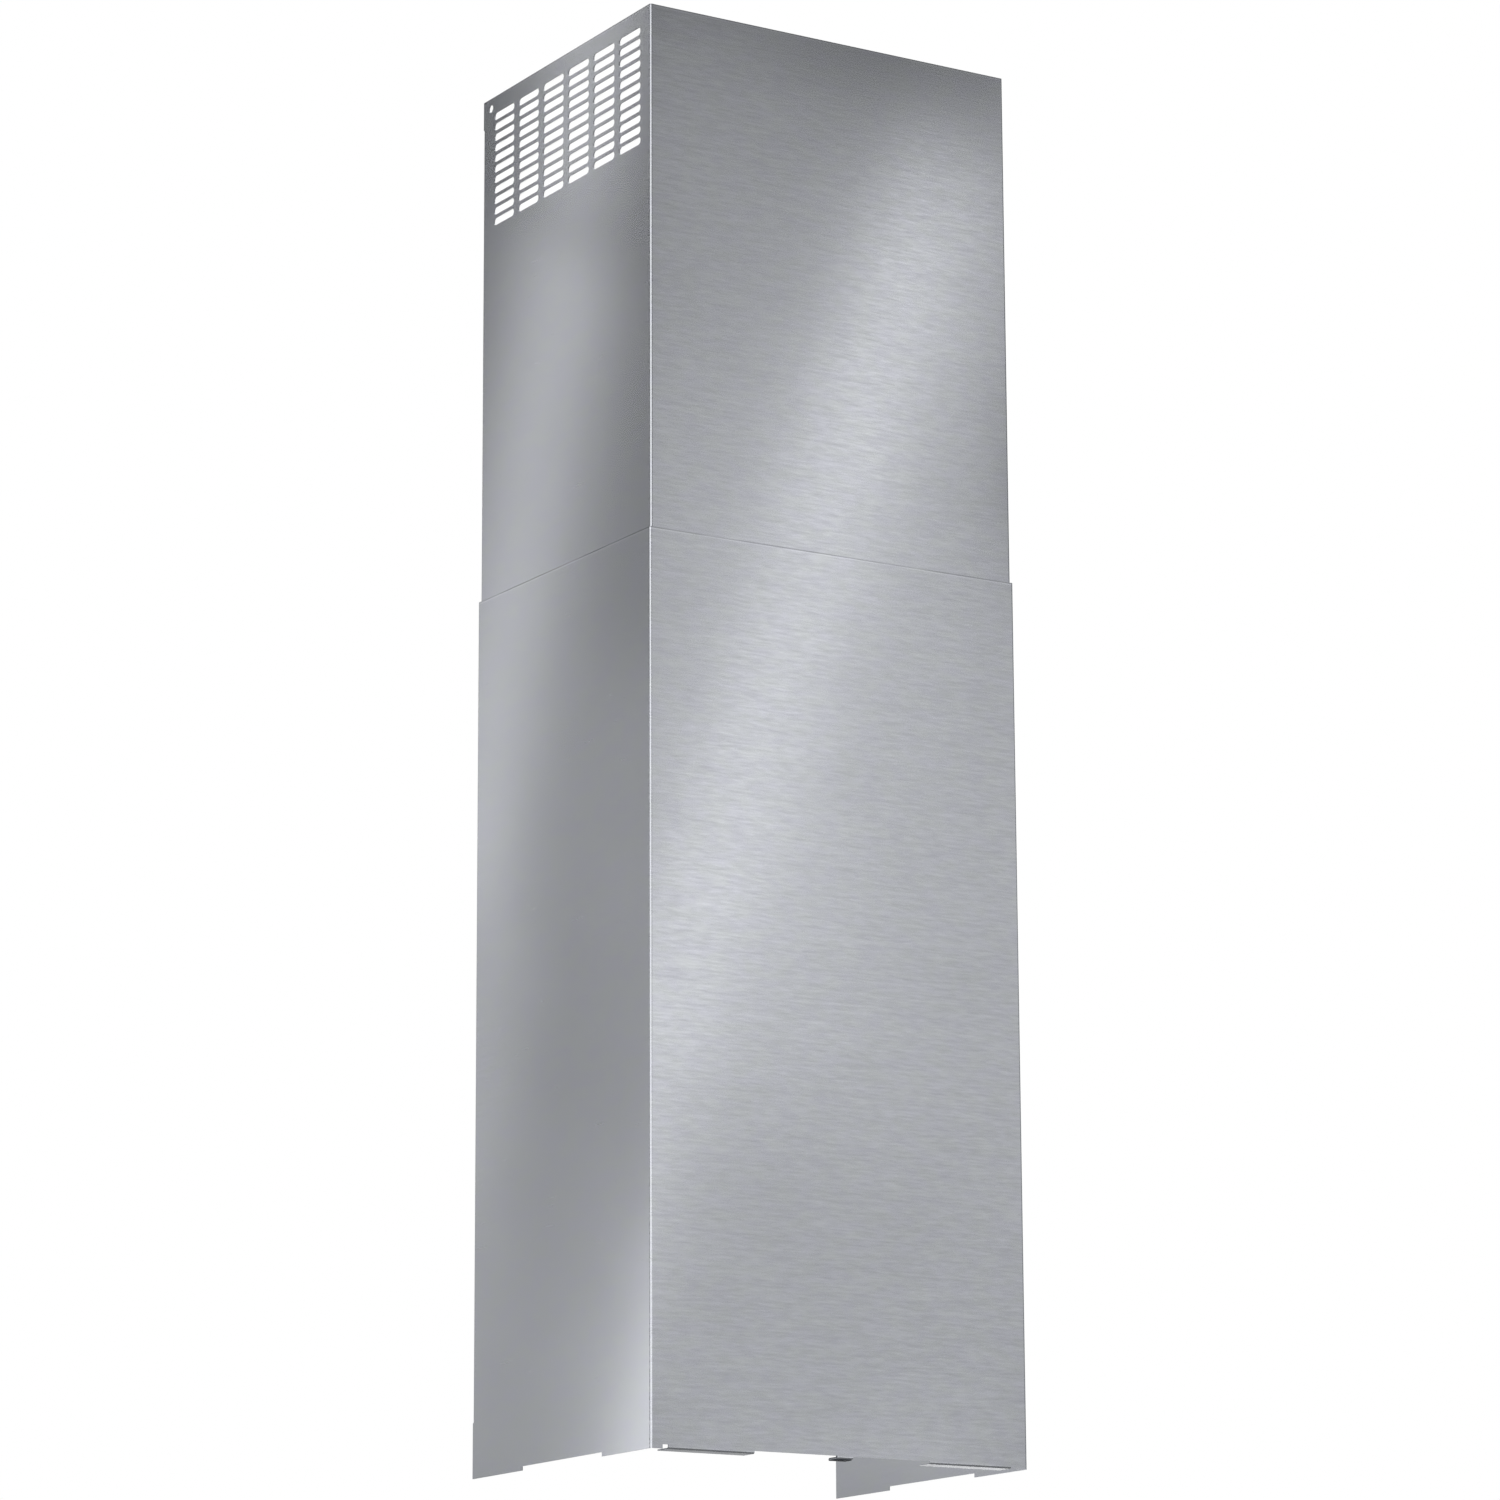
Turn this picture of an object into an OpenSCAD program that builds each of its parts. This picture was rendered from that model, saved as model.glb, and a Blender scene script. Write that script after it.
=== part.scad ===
/* [Chimney size] */
// Outside width of the lower cover
cover_w = 310; // [280:1:340]
// Outside depth of the lower cover, wall to front face
cover_d = 250; // [220:1:300]
// Height of the lower cover
lower_h = 648.5; // [560:0.5:760]
// Full length of the upper cover, including the part inside the lower one
upper_len = 640; // [560:1:700]
// Height of the upper cover's top edge above the lower cover's bottom edge
total_h = 1040; // [900:1:1100]

/* [Sheet metal] */
// Thickness of the cover sheet
sheet = 0.8; // [0.6:0.1:1.0]
// Outside radius of every bend
bend_r = 1.6; // [1.4:0.1:3]
// Gap between the two covers on each face
slide_gap = 0.6; // [0.5:0.1:0.8]
// Width of the lower cover's rear return lips
lower_lip = 13; // [11:0.5:16]
// Width of the upper cover's rear return lips
upper_lip = 8; // [7:0.5:9]
// Length of side wall at the lower cover's foot with no return lip
foot_clear = 40; // [35:1:60]

/* [Vents] */
// Columns of vent slots on each side
vent_cols = 6; // [4:1:6]
// Rows of vent slots on each side
vent_rows = 11; // [4:1:12]
// Length of one slot over its round ends
slot_len = 30.4; // [24:0.2:31]
// Width of one slot
slot_w = 5.9; // [4.4:0.1:6.2]
// Spacing of the columns
col_pitch = 37.2; // [34:0.1:38]
// Spacing of the rows
row_pitch = 8.35; // [7.6:0.05:9]
// Distance from the top edge to the middle of the first row
first_row = 16.2; // [14:0.1:20]
// Distance from the lower cover's front face to the middle of the first column
first_col = 30.6; // [26:0.1:33]

/* [Fixing holes] */
// Diameter of the side screw holes near the top
side_hole_d = 6.2; // [4:0.1:6.6]
// Distance of the side screw holes below the top edge
side_hole_drop = 7.8; // [6:0.1:12]
// Distance of the side screw holes in front of the wall
side_hole_back = 12.5; // [11:0.1:14]

/* [Foot] */
// Depth of the turned-in foot flanges
flange_d = 14.5; // [12:0.5:18]
// Height of the raised front edge between the flanges
front_raise = 2; // [1.6:0.1:3]
// Height of the notch in each side wall's bottom edge
side_notch_h = 3; // [2:0.1:5]
// Start of that notch, measured from the front face
side_notch_a = 66; // [50:1:80]
// End of that notch, measured from the front face
side_notch_b = 178; // [150:1:190]
// Width of the centre tab that carries the clip nut
tab_w = 13; // [12:0.5:16]
// Depth of the centre tab
tab_d = 11; // [10.5:0.5:14]
// Distance of the centre tab to the right of the middle
tab_x = 2; // [-4:0.5:4]

/* [Hidden] */
$fn = 72;
eps = 0.01;

clip_t = 0.6;                         // spring steel of the clip nut
lift = clip_t;                        // the clip's lower leaf is the lowest face
hw = cover_w / 2;
y_front = -cover_d / 2;
y_back = cover_d / 2;
inset = sheet + slide_gap;            // from the lower cover's outside to the upper cover's outside
up_hw = hw - inset;
up_front = y_front + inset;
up_back = y_back - inset;
z_top = lift + total_h;
z_up = z_top - upper_len;
z_rim = lift + lower_h;

relief_a = 9.5;                       // corner relief, from the side of the cover
relief_b = 14;
flange_end = 83;                      // inner end of each wide flange, from the side of the cover
relief_h = 3;
lip_cut = 22;                         // the upper cover's lips stop this far below its top edge

bracket_t = 1.5;
bracket_h = 28;
bracket_z = z_up + 24;                // underside of the wall bracket
bracket_slot_x = 80;
strip_t = 0.3;
strip_h = 20;
strip_z = z_rim - 6 - strip_h;

// Filled outline with four rounded corners
module outline(w2, ya, yb, r) {
    translate([-w2, ya + r]) square([2 * w2, yb - ya - 2 * r]);
    translate([-w2 + r, ya]) square([2 * w2 - 2 * r, yb - ya]);
    for (sx = [-1, 1], y = [ya + r, yb - r]) translate([sx * (w2 - r), y]) circle(r);
}

// Section of a cover: front, two sides and two return lips at the back
module cover_section(w2, ya, yb, r, t, lip) {
    difference() {
        outline(w2, ya, yb, r);
        outline(w2 - t, ya + t, yb - t, r - t);
        translate([-w2 + lip, yb - 2 * t]) square([2 * (w2 - lip), 3 * t]);
    }
}

// Straight side-wall ends where a return lip is left off
module plain_rear_edges(w2, yb, r, t, h) {
    for (sx = [-1, 1])
        translate([sx > 0 ? w2 - t : -w2, yb - 2 * r, 0]) cube([t, 2 * r, h]);
}

// Section of a turned-in flange: x is depth from the front face, y is height
module flange_section(r, t, d) {
    translate([r, 0]) square([d - r, t]);
    translate([0, r]) square([t, r]);
    intersection() {
        translate([r, r]) difference() { circle(r); circle(r - t); }
        square([r, r]);
    }
}

module flange(x0, x1, d) {
    translate([x0, y_front, lift]) rotate([90, 0, 90]) linear_extrude(x1 - x0) flange_section(bend_r, sheet, d);
}

// One vent slot, flat, long way along x
module slot2d(l, w) {
    square([l - w, w], center = true);
    for (s = [-1, 1]) translate([s * (l - w) / 2, 0]) circle(d = w);
}

module vent_field() {
    for (c = [0 : vent_cols - 1], r = [0 : vent_rows - 1])
        translate([y_front + first_col + c * col_pitch, z_top - first_row - r * row_pitch]) slot2d(slot_len, slot_w);
}

module lower_cover() {
    color([0.68, 0.69, 0.70]) union() {
        difference() {
            translate([0, 0, lift]) linear_extrude(lower_h) cover_section(hw, y_front, y_back, bend_r, sheet, lower_lip);
            // return lips stop short of the foot
            translate([-hw - 1, y_back - bend_r, lift - 1]) cube([cover_w + 2, bend_r + 1, foot_clear + 1]);
            // shallow notch in both side walls
            translate([-hw - 1, y_front + side_notch_a, lift - 1]) cube([cover_w + 2, side_notch_b - side_notch_a, side_notch_h + 1]);
            // raised front edge
            translate([-hw + relief_b, y_front - 1, lift - 1]) cube([cover_w - 2 * relief_b, 3, front_raise + 1]);
            // corner reliefs
            for (sx = [-1, 1])
                translate([sx > 0 ? hw - relief_b : -hw + relief_a, y_front - 1, lift - 1]) cube([relief_b - relief_a, 3, relief_h + 1]);
        }
        translate([0, 0, lift]) plain_rear_edges(hw, y_back, bend_r, sheet, foot_clear);
        flange(-hw + relief_b, -hw + flange_end, flange_d);
        flange(hw - flange_end, hw - relief_b, flange_d);
        difference() {
            flange(tab_x - tab_w / 2, tab_x + tab_w / 2, tab_d);
            translate([tab_x, y_front + tab_d / 2 + 0.5, lift - 1]) cylinder(r = 2.3, h = 3);
        }
    }
}

module upper_cover() {
    color([0.68, 0.69, 0.70]) difference() {
        union() {
            difference() {
                translate([0, 0, z_up]) linear_extrude(upper_len) cover_section(up_hw, up_front, up_back, bend_r, sheet, upper_lip);
                translate([-hw, up_back - bend_r, z_top - lip_cut]) cube([cover_w, bend_r + 1, lip_cut + 1]);
            }
            translate([0, 0, z_top - lip_cut]) plain_rear_edges(up_hw, up_back, bend_r, sheet, lip_cut);
        }
        // vent slots through both sides
        translate([-hw, 0, 0]) rotate([90, 0, 90]) linear_extrude(cover_w) vent_field();
        // side screw holes
        translate([-hw, y_back - side_hole_back, z_top - side_hole_drop]) rotate([0, 90, 0]) cylinder(d = side_hole_d, h = cover_w);
    }
}

// U-shaped clip nut pushed over the centre tab from behind
module centre_clip_nut() {
    cy = y_front + tab_d / 2 + 0.5;
    ye = y_front + tab_d;
    w = tab_w - 0.4;
    color([0.20, 0.21, 0.23]) translate([tab_x, 0, 0]) difference() {
        union() {
            // lower leaf
            translate([-w / 2, y_front + 2.0, 0]) cube([w, ye - y_front - 2.0, clip_t]);
            // upper leaf
            translate([-w / 2, y_front + 2.6, lift + sheet]) cube([w, ye - y_front - 2.6, clip_t]);
            // fold behind the tab's edge
            translate([-w / 2, ye, lift + sheet / 2]) rotate([90, 0, 90]) linear_extrude(w) intersection() {
                difference() { circle(sheet / 2 + clip_t); circle(sheet / 2); }
                translate([0, -5]) square([5, 10]);
            }
            // threaded barrel
            translate([0, cy, lift + sheet]) cylinder(r = 3.2, h = 3.6);
        }
        // thread, drawn at its core diameter
        translate([0, cy, lift + sheet - 1]) cylinder(r = 1.7, h = 6);
        // way through the lower leaf for the screw
        translate([0, cy, -1]) cylinder(r = 2.5, h = 2.3);
        // spring slots beside it
        for (x = [0.9 - w / 2, w / 2 - 2.2]) translate([x, y_front + 3.2, -1]) cube([1.3, 6, 1 + clip_t + 0.2]);
    }
}

// Strip bent twice at each end, hooked into the upper cover's return lips
module bracket_section() {
    yw = y_back;                       // wall plane
    yl = up_back - sheet;              // front of the return lips
    xi = up_hw - sheet;                // inside of the side walls
    s = yw - yl;                       // set of the joggle
    translate([-124, yw - bracket_t]) square([248, bracket_t]);
    for (sx = [-1, 1]) mirror([sx > 0 ? 0 : 1, 0]) {
        polygon([[124, yw], [124, yw - bracket_t], [129, yl - bracket_t], [129, yl]]);
        translate([129, yl - bracket_t]) square([xi - 129 - 2.5, bracket_t]);
        // bend into the side tab
        intersection() {
            translate([xi - 2.5, yl - 2.5]) difference() { circle(2.5); circle(1); }
            translate([xi - 2.5, yl - 2.5]) square([2.5, 2.5]);
        }
        translate([xi - bracket_t, yl - 24]) square([bracket_t, 21.5]);
    }
}

module wall_bracket() {
    color([0.74, 0.75, 0.77]) difference() {
        translate([0, 0, bracket_z]) linear_extrude(bracket_h) bracket_section();
        // two slots for the wall screws
        for (sx = [-1, 1])
            translate([sx * bracket_slot_x, y_back + 1, bracket_z + bracket_h / 2]) rotate([90, 0, 0]) linear_extrude(4) slot2d(16, 5.5);
        // centre mark
        translate([0, y_back + 1, bracket_z + bracket_h]) rotate([90, 0, 0]) cylinder(r = 2.2, h = 5);
        // screw holes in the side tabs
        translate([-hw, up_back - sheet - 14, bracket_z + bracket_h / 2]) rotate([0, 90, 0]) cylinder(r = 1.4, h = cover_w);
    }
}

// Thin slide film on the inside of the lower cover, just under its rim
module glide_strip_front() {
    color([0.86, 0.86, 0.84]) translate([-hw + 20, y_front + sheet, strip_z]) cube([cover_w - 40, strip_t, strip_h]);
}
module side_strip(sx) {
    color([0.86, 0.86, 0.84]) translate([sx > 0 ? hw - sheet - strip_t : -hw + sheet, y_front + 20, strip_z]) cube([strip_t, cover_d - 40, strip_h]);
}
module rear_strip(sx) {
    color([0.86, 0.86, 0.84]) translate([sx > 0 ? hw - lower_lip + 0.5 : -hw + sheet + 2, y_back - sheet - strip_t, strip_z]) cube([lower_lip - sheet - 2.5, strip_t, strip_h]);
}
module glide_strip_left() { side_strip(-1); }
module glide_strip_right() { side_strip(1); }
module glide_strip_rear_left() { rear_strip(-1); }
module glide_strip_rear_right() { rear_strip(1); }

lower_cover();
upper_cover();
centre_clip_nut();
wall_bracket();
glide_strip_front();
glide_strip_left();
glide_strip_right();
glide_strip_rear_left();
glide_strip_rear_right();
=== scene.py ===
import math
import bpy
from mathutils import Matrix, Vector


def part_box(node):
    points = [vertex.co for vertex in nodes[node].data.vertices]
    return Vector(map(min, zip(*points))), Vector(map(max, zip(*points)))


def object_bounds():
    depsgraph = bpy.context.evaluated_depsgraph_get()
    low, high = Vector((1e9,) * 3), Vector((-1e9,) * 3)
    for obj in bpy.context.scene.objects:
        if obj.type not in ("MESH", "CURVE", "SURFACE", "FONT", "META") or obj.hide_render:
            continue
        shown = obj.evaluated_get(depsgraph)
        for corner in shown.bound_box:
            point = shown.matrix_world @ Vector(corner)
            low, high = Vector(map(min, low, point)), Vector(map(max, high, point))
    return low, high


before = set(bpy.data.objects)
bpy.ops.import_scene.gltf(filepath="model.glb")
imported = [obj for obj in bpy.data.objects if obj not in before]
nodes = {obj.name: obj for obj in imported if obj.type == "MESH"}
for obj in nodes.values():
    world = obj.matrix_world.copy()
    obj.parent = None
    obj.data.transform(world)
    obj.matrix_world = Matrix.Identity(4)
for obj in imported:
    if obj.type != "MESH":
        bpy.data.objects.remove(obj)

CAD_BOX = [[float(c) for c in corner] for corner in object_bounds()]
scene = bpy.context.scene
scene.view_settings.view_transform = "Standard"
scene.view_settings.look = "None"
low, high = Vector(CAD_BOX[0]), Vector(CAD_BOX[1])

# ---------------------------------------------------------------- camera
def make_camera():
    yaw, pitch, roll = 0.554606, 0.228505, -0.004998
    ahead = Vector((math.sin(yaw) * math.cos(pitch), math.cos(yaw) * math.cos(pitch), math.sin(pitch)))
    right = Vector((math.cos(yaw), -math.sin(yaw), 0))
    up = right.cross(ahead)
    r = math.cos(roll) * right + math.sin(roll) * up
    u = -math.sin(roll) * right + math.cos(roll) * up
    cam = bpy.data.cameras.new("camera")
    cam.sensor_width = 36.0
    cam.lens = 131.691
    cam.clip_start, cam.clip_end = 0.05, 60
    ob = bpy.data.objects.new("camera", cam)
    scene.collection.objects.link(ob)
    m = Matrix((r, u, -ahead)).transposed().to_4x4()
    m.translation = Vector((-2.06186, -3.33569, -0.38196))
    ob.matrix_world = m
    scene.camera = ob

make_camera()

# ---------------------------------------------------------------- material tools
class Graph:
    def __init__(self, name):
        self.mat = bpy.data.materials.new(name)
        self.mat.use_nodes = True
        self.nt = self.mat.node_tree
        self.nt.nodes.clear()
        self.out = self.add("ShaderNodeOutputMaterial")
        self.bsdf = self.add("ShaderNodeBsdfPrincipled")
        self.link(self.bsdf.outputs["BSDF"], self.out.inputs["Surface"])

    def add(self, kind, **values):
        n = self.nt.nodes.new(kind)
        for k, v in values.items():
            setattr(n, k, v)
        return n

    def link(self, a, b):
        self.nt.links.new(a, b)

    def math(self, op, a, b=None, clamp=False):
        n = self.add("ShaderNodeMath", operation=op, use_clamp=clamp)
        for i, v in enumerate((a, b)):
            if v is None:
                continue
            if isinstance(v, (int, float)):
                n.inputs[i].default_value = v
            else:
                self.link(v, n.inputs[i])
        return n.outputs[0]

    def coords(self, scale, offset=(0, 0, 0)):
        t = self.add("ShaderNodeTexCoord")
        m = self.add("ShaderNodeMapping")
        m.inputs["Location"].default_value = offset
        m.inputs["Scale"].default_value = scale
        self.link(t.outputs["Object"], m.inputs["Vector"])
        return m.outputs["Vector"]

    def noise(self, vector, scale=1.0, detail=2.0, roughness=0.5):
        n = self.add("ShaderNodeTexNoise")
        n.inputs["Scale"].default_value = scale
        n.inputs["Detail"].default_value = detail
        n.inputs["Roughness"].default_value = roughness
        self.link(vector, n.inputs["Vector"])
        return n.outputs[0]

    def ramp(self, fac, stops, interpolation="LINEAR"):
        n = self.add("ShaderNodeValToRGB")
        n.color_ramp.interpolation = interpolation
        e = n.color_ramp.elements
        while len(e) < len(stops):
            e.new(0.5)
        for el, (pos, col) in zip(e, stops):
            el.position = pos
            el.color = (*col, 1) if len(col) == 3 else col
        self.link(fac, n.inputs["Fac"])
        return n.outputs["Color"]

    def spread(self, value, low, high, out_low, out_high):
        n = self.add("ShaderNodeMapRange")
        n.inputs["From Min"].default_value, n.inputs["From Max"].default_value = low, high
        n.inputs["To Min"].default_value, n.inputs["To Max"].default_value = out_low, out_high
        self.link(value, n.inputs["Value"])
        return n.outputs["Result"]

    def scaled(self, colour, factor):
        n = self.add("ShaderNodeVectorMath", operation="SCALE")
        if isinstance(colour, (tuple, list)):
            n.inputs[0].default_value = colour
        else:
            self.link(colour, n.inputs[0])
        self.link(factor, n.inputs["Scale"])
        return n.outputs["Vector"]


def brushed_steel(name, seed, node):
    g = Graph(name)
    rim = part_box(node)[1][2]
    # grain runs level round the cover: long in x and y, fine in z, and fainter on the side faces
    streaks = g.noise(g.coords((78, 30, 600), (seed, 0, 0)), 1.0, 3.0, 0.6)
    long_ = g.noise(g.coords((20, 12, 520), (seed + 3, 0, 0)), 1.0, 2.0, 0.5)
    mottle = g.noise(g.coords((9, 9, 16), (seed + 7, 0, 0)), 1.0, 2.0, 0.5)
    hue = g.noise(g.coords((55, 40, 90), (seed + 11, 0, 0)), 1.0, 2.0, 0.55)
    grain = g.math("ADD", g.math("MULTIPLY", streaks, 0.7), g.math("MULTIPLY", long_, 0.3))
    tint = g.ramp(hue, [(0.36, (0.598, 0.607, 0.658)), (0.64, (0.603, 0.620, 0.640))])
    coord = g.add("ShaderNodeTexCoord")
    split = g.add("ShaderNodeSeparateXYZ")
    g.link(coord.outputs["Normal"], split.inputs[0])
    side = g.math("ABSOLUTE", split.outputs["X"])
    depth = g.spread(side, 0.3, 0.9, 1.0, 0.17)
    wave = g.math("MULTIPLY", g.spread(grain, 0.3, 0.7, -0.10, 0.10), depth)
    shade = g.math("ADD", wave, g.spread(mottle, 0.3, 0.7, 0.985, 1.015))
    # the top rim: a thin dark line of painted shade, patchy along its length, standing for the shade in the gap
    # where the covers meet, and just below it a thin light line of painted highlight
    place = g.add("ShaderNodeSeparateXYZ")
    g.link(coord.outputs["Object"], place.inputs[0])
    patchy = g.noise(g.coords((16, 16, 1), (seed + 19, 0, 0)), 1.0, 2.0, 0.6)
    # painted shade: darkens a band about 0.7 to 1.1 mm below the rim
    painted_gap_shadow = g.math("MULTIPLY", g.spread(place.outputs["Z"], rim - 0.0011, rim - 0.0007, 0, 1), g.spread(patchy, 0.3, 0.7, 0.10, 0.46))
    # painted highlight: lightens a band about 1.1 to 1.9 mm below the rim
    painted_rim_highlight = g.math("MULTIPLY", g.spread(place.outputs["Z"], rim - 0.0019, rim - 0.0016, 0, 1), g.spread(place.outputs["Z"], rim - 0.0011, rim - 0.0008, 0.14, 0))
    shade = g.math("MULTIPLY", shade, g.math("ADD", g.math("SUBTRACT", 1.0, painted_gap_shadow), painted_rim_highlight))
    g.link(g.scaled(tint, shade), g.bsdf.inputs["Base Color"])
    g.link(g.math("ADD", 0.27, g.math("MULTIPLY", g.spread(grain, 0.3, 0.7, 0.025, -0.025), depth)), g.bsdf.inputs["Roughness"])
    g.bsdf.inputs["Metallic"].default_value = 1.0
    g.bsdf.inputs["Anisotropic"].default_value = 0.5
    g.bsdf.inputs["Anisotropic Rotation"].default_value = 0.25
    bump = g.add("ShaderNodeBump")
    bump.inputs["Distance"].default_value = 0.0002
    g.link(g.math("MULTIPLY", depth, 0.10), bump.inputs["Strength"])
    g.link(grain, bump.inputs["Height"])
    g.link(bump.outputs["Normal"], g.bsdf.inputs["Normal"])
    return g.mat


def spring_steel():
    g = Graph("spring_steel")
    n = g.noise(g.coords((900, 900, 900)), 1.0, 3.0, 0.6)
    c = g.ramp(n, [(0.3, (0.035, 0.040, 0.050)), (0.7, (0.075, 0.083, 0.100))])
    g.link(c, g.bsdf.inputs["Base Color"])
    g.link(g.spread(n, 0.3, 0.7, 0.36, 0.52), g.bsdf.inputs["Roughness"])
    g.bsdf.inputs["Metallic"].default_value = 0.85
    bump = g.add("ShaderNodeBump")
    bump.inputs["Strength"].default_value = 0.2
    bump.inputs["Distance"].default_value = 0.0001
    g.link(n, bump.inputs["Height"])
    g.link(bump.outputs["Normal"], g.bsdf.inputs["Normal"])
    return g.mat


def zinc():
    g = Graph("zinc_plate")
    v = g.add("ShaderNodeTexVoronoi")
    v.inputs["Scale"].default_value = 210
    g.link(g.coords((1, 1, 1)), v.inputs["Vector"])
    n = g.noise(g.coords((300, 300, 300)), 1.0, 3.0, 0.6)
    spangle = g.math("ADD", g.math("MULTIPLY", v.outputs["Distance"], 0.6), g.math("MULTIPLY", n, 0.5))
    c = g.ramp(spangle, [(0.2, (0.46, 0.48, 0.51)), (0.75, (0.64, 0.66, 0.69))])
    g.link(c, g.bsdf.inputs["Base Color"])
    g.link(g.spread(n, 0.3, 0.7, 0.34, 0.48), g.bsdf.inputs["Roughness"])
    g.bsdf.inputs["Metallic"].default_value = 1.0
    return g.mat


def film():
    g = Graph("glide_film")
    n = g.noise(g.coords((500, 500, 500)), 1.0, 2.0, 0.5)
    c = g.ramp(n, [(0.3, (0.72, 0.72, 0.69)), (0.7, (0.80, 0.80, 0.77))])
    g.link(c, g.bsdf.inputs["Base Color"])
    g.link(g.spread(n, 0.3, 0.7, 0.42, 0.55), g.bsdf.inputs["Roughness"])
    return g.mat


def give(node, material):
    ob = nodes[node]
    ob.data.materials.clear()
    ob.data.materials.append(material)


give("lower_cover", brushed_steel("brushed_cover_lower", 1.0, "lower_cover"))
give("upper_cover", brushed_steel("brushed_cover_upper", 5.0, "upper_cover"))
give("centre_clip_nut", spring_steel())
give("wall_bracket", zinc())
FILM = film()
for n in nodes:
    if n.startswith("glide_strip"):
        give(n, FILM)

# ---------------------------------------------------------------- floor
def make_floor():
    half = 6.0
    z = low.z - 0.0004
    me = bpy.data.meshes.new("floor")
    me.from_pydata([(-half, -half, z), (half, -half, z), (half, half, z), (-half, half, z)], [], [(0, 1, 2, 3)])
    ob = bpy.data.objects.new("floor", me)
    scene.collection.objects.link(ob)
    g = Graph("floor")
    g.nt.nodes.remove(g.bsdf)
    diffuse = g.add("ShaderNodeBsdfDiffuse")
    n = g.noise(g.coords((3, 3, 3)), 1.0, 2.0, 0.5)
    c = g.ramp(n, [(0.3, (0.80, 0.80, 0.80)), (0.7, (0.83, 0.83, 0.83))])
    g.link(c, diffuse.inputs["Color"])
    clear = g.add("ShaderNodeBsdfTransparent")
    geo = g.add("ShaderNodeNewGeometry")
    mix = g.add("ShaderNodeMixShader")
    g.link(geo.outputs["Backfacing"], mix.inputs["Fac"])
    g.link(diffuse.outputs[0], mix.inputs[1])
    g.link(clear.outputs[0], mix.inputs[2])
    g.link(mix.outputs[0], g.out.inputs["Surface"])
    me.materials.append(g.mat)
    ob.visible_glossy = False
    ob.visible_diffuse = False

make_floor()

# ---------------------------------------------------------------- light
def make_world():
    """A white room, with a reflection that is darker overhead than low down."""
    w = bpy.data.worlds.new("studio")
    scene.world = w
    w.use_nodes = True
    nt = w.node_tree
    nt.nodes.clear()
    out = nt.nodes.new("ShaderNodeOutputWorld")
    seen = nt.nodes.new("ShaderNodeBackground")
    seen.inputs["Color"].default_value = (1, 1, 1, 1)
    seen.inputs["Strength"].default_value = 1.0
    lit = nt.nodes.new("ShaderNodeBackground")
    lit.inputs["Strength"].default_value = 1.0
    coord = nt.nodes.new("ShaderNodeTexCoord")
    split = nt.nodes.new("ShaderNodeSeparateXYZ")
    height = nt.nodes.new("ShaderNodeMapRange")
    height.inputs["From Min"].default_value, height.inputs["From Max"].default_value = -1, 1
    ramp = nt.nodes.new("ShaderNodeValToRGB")
    e = ramp.color_ramp.elements
    while len(e) < len(WORLD):
        e.new(0.5)
    for el, (z, v) in zip(e, WORLD):
        el.position = (z + 1) / 2
        el.color = (0.975 * v, 0.99 * v, v, 1)
    path = nt.nodes.new("ShaderNodeLightPath")
    mix = nt.nodes.new("ShaderNodeMixShader")
    nt.links.new(coord.outputs["Generated"], split.inputs[0])
    nt.links.new(split.outputs["Z"], height.inputs["Value"])
    nt.links.new(height.outputs["Result"], ramp.inputs["Fac"])
    nt.links.new(ramp.outputs["Color"], lit.inputs["Color"])
    nt.links.new(path.outputs["Is Camera Ray"], mix.inputs["Fac"])
    nt.links.new(lit.outputs[0], mix.inputs[1])
    nt.links.new(seen.outputs[0], mix.inputs[2])
    nt.links.new(mix.outputs[0], out.inputs["Surface"])


def area(name, place, aim, size, radiance, colour=(1, 1, 1), roll=0.0, spread=180.0):
    """A rectangular soft light of even radiance, seen by reflections and not by the camera."""
    d = bpy.data.lights.new(name, "AREA")
    d.shape = "RECTANGLE"
    d.size, d.size_y = size
    d.energy = radiance * math.pi * size[0] * size[1]
    d.color = colour
    d.spread = math.radians(spread)
    ob = bpy.data.objects.new(name, d)
    scene.collection.objects.link(ob)
    look = (Vector(aim) - Vector(place)).normalized()
    x = look.cross(Vector((0, 0, 1))).normalized()
    y = x.cross(look)
    c, s = math.cos(roll), math.sin(roll)
    m = Matrix((c * x + s * y, -s * x + c * y, -look)).transposed().to_4x4()
    m.translation = Vector(place)
    ob.matrix_world = m
    ob.visible_camera = False
    return ob


# height of the direction (sine) and the room's brightness there
WORLD = [(-1, 0.20), (-0.25, 0.27), (-0.05, 0.33), (0.08, 0.365), (0.18, 0.295), (0.28, 0.15), (0.40, 0.06), (0.60, 0.08), (1, 0.30)]
make_world()

# Softboxes in two upright planes, one in front of the front face and one beside the left face. Each plane is
# tilted a little, so its edges cross the steel as a slanting band. Across and along are in metres in the plane.
FRONT = (Vector((0.23, -0.525, 0.75)), Vector((math.cos(math.radians(20.4)), 0, -math.sin(math.radians(20.4)))))
LEFT = (Vector((-0.405, 0.51, 0.87)), Vector((0, math.cos(math.radians(18)), math.sin(math.radians(18)))))


def softbox(name, plane, across, along, radiance, back):
    """back moves a box away from its neighbours in the plane: a reflected ray only finds one of two that coincide"""
    centre, side = plane
    facing = Vector((0, 1, 0)) if plane is FRONT else Vector((1, 0, 0))
    up = facing.cross(side) if plane is FRONT else side.cross(facing)
    if up.z < 0:
        up = -up
    place = centre + side * (sum(across) / 2) + up * (sum(along) / 2) - facing * back
    ob = area(name, place, place + facing, (across[1] - across[0], along[1] - along[0]), radiance)
    x = up.cross(-facing)
    m = Matrix((x, up, -facing)).transposed().to_4x4()
    m.translation = place
    ob.matrix_world = m


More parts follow.
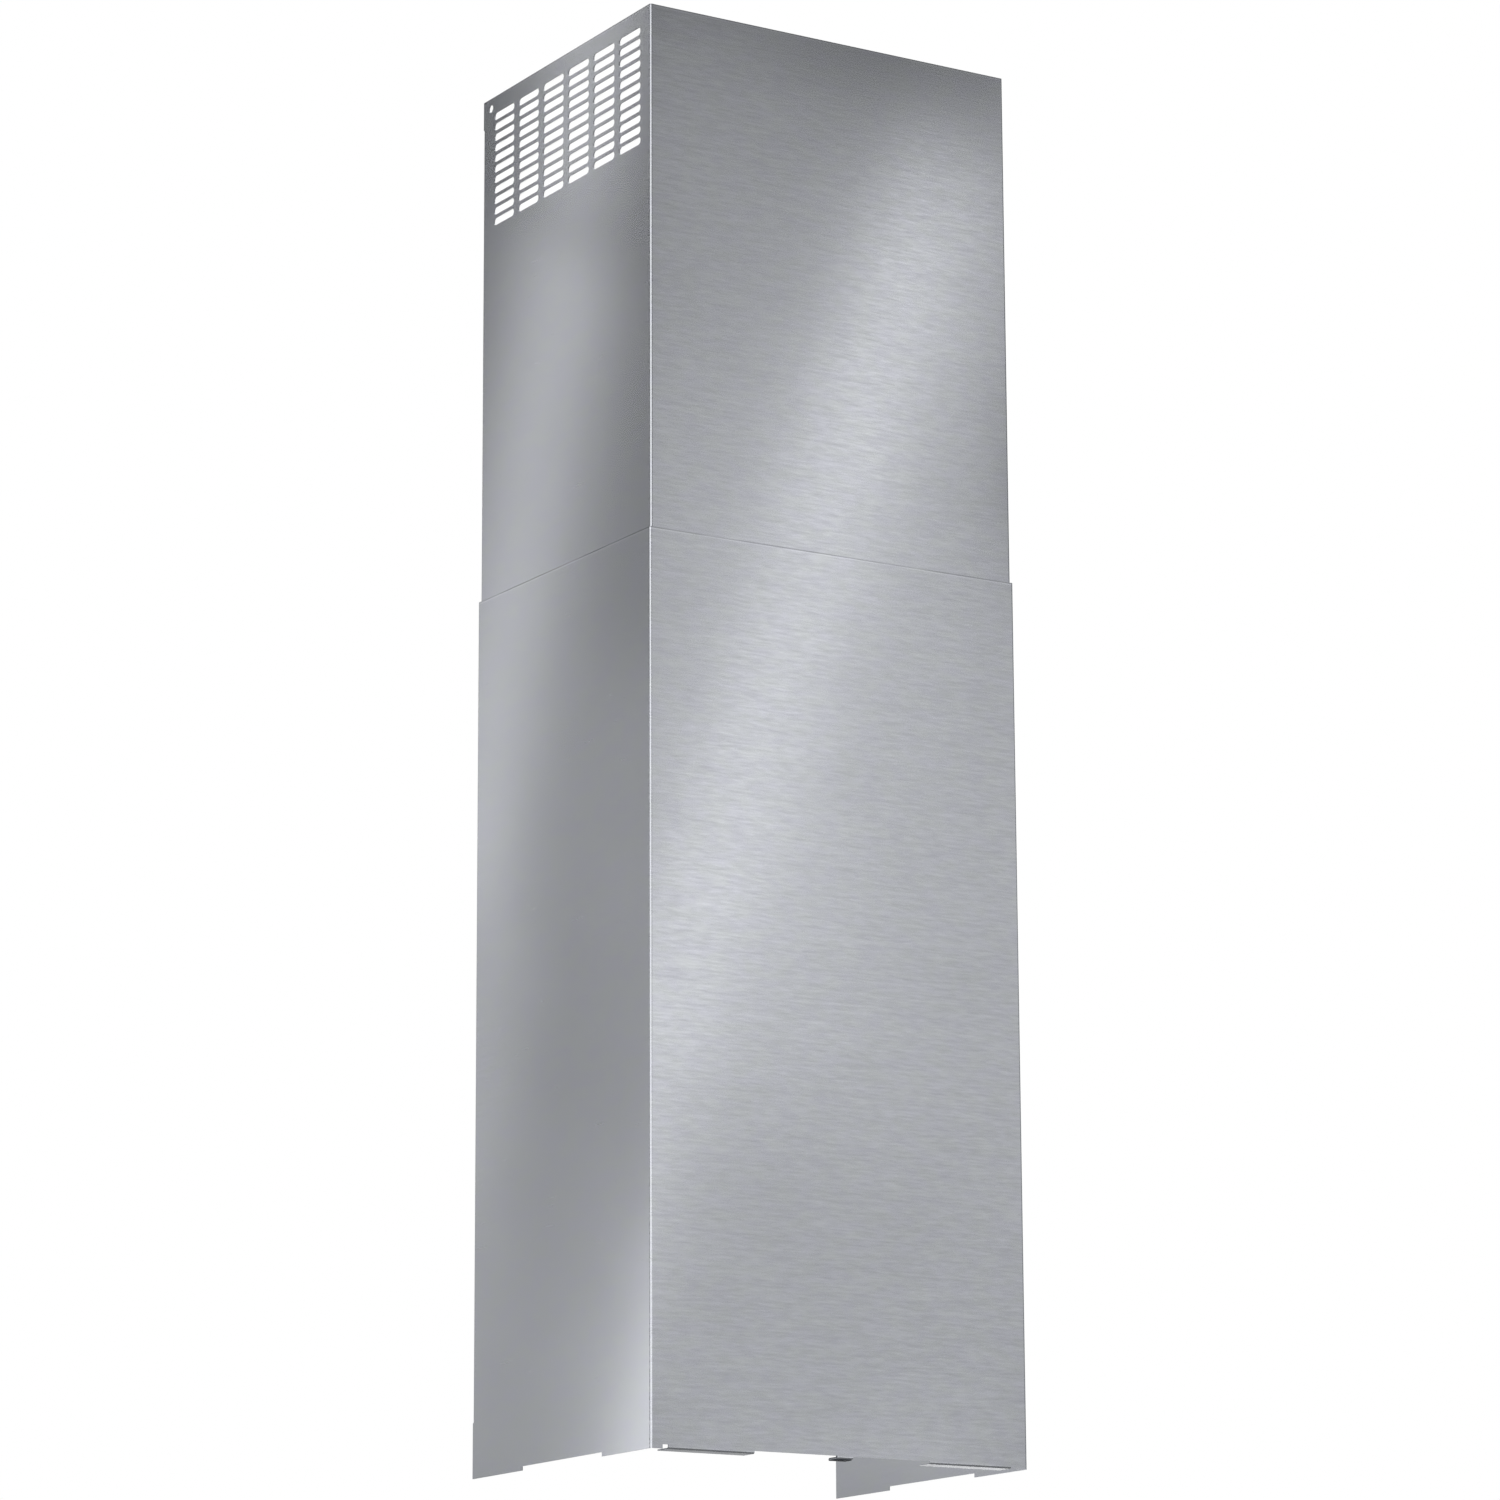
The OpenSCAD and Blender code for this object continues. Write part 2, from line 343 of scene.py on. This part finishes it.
for i, box in enumerate([
    ((-0.045, 0.135), (-0.42, 0.42), 0.504),
    ((-0.225, 0.045), (-0.98, 0.14), 0.430),
    ((0.135, 0.495), (-0.42, -0.14), 0.412),
    ((-0.315, 0.045), (0.14, 0.42), 0.337),
    ((0.135, 0.495), (-0.14, 0.14), 0.458),
    ((-0.045, 0.315), (-0.70, -0.42), 0.337),
    ((0.315, 0.495), (-0.98, -0.42), 0.349),
    ((-0.045, 0.045), (0.14, 0.42), 0.176),
    ((0.045, 0.225), (-0.42, -0.14), 0.072),
    ((0.045, 0.495), (0.42, 0.70), 0.290),
    ((0.135, 0.495), (-0.98, -0.70), 0.459),
]):
    softbox("front_soft_%d" % i, FRONT, *box, 0.002 * i)
for i, box in enumerate([
    ((-0.09, 0.03), (-0.36, 0.21), 1.136),
    ((-0.51, -0.45), (-0.84, -0.12), 1.25),
    ((-0.15, 0.03), (-0.60, -0.36), 0.552),
    ((-0.27, -0.21), (-0.36, -0.12), 0.255),
    ((-0.21, 0.09), (-0.84, -0.60), 0.277),
    ((-0.33, -0.27), (-0.84, 0.12), 0.322),
    ((-0.51, -0.45), (-0.84, -0.64), 0.30),
    ((-0.51, -0.43), (-0.84, -0.59), 0.30),
    ((-0.53, -0.39), (-0.84, -0.54), 0.36),
    ((-0.02, 0.04), (0.23, 0.62), 2.25),
    ((-0.05, 0.01), (0.12, 0.24), 0.20),
]):
    softbox("left_soft_%d" % i, LEFT, *box, 0.002 * i)
# from the corner side, for the bend between the two faces
area("corner_box", (-1.7, -2.5, 1.1), (-0.155, -0.125, 1.1), (2.6, 3.4), 1.15)
area("side_box", (-2.5, -0.6, 1.1), (-0.155, -0.125, 1.1), (2.2, 3.4), 1.0)
# low behind the object, for the undersides of the foot flanges and the inside of the mouth
area("under_right", (0.62, 0.60, -0.085), (0.11, -0.117, 0.0), (0.24, 0.16), 0.95)
area("under_left", (0.32, 0.60, -0.085), (-0.105, -0.117, 0.0), (0.20, 0.16), 0.45)
area("mouth_fill", (-0.05, 0.33, 0.08), (0.15, 0.05, 0.02), (0.26, 0.14), 0.22)
# high overhead, for the floor
area("overhead", (0.0, 0.35, 4.2), (0.0, 0.3, 0.0), (3.0, 3.0), 3.6)
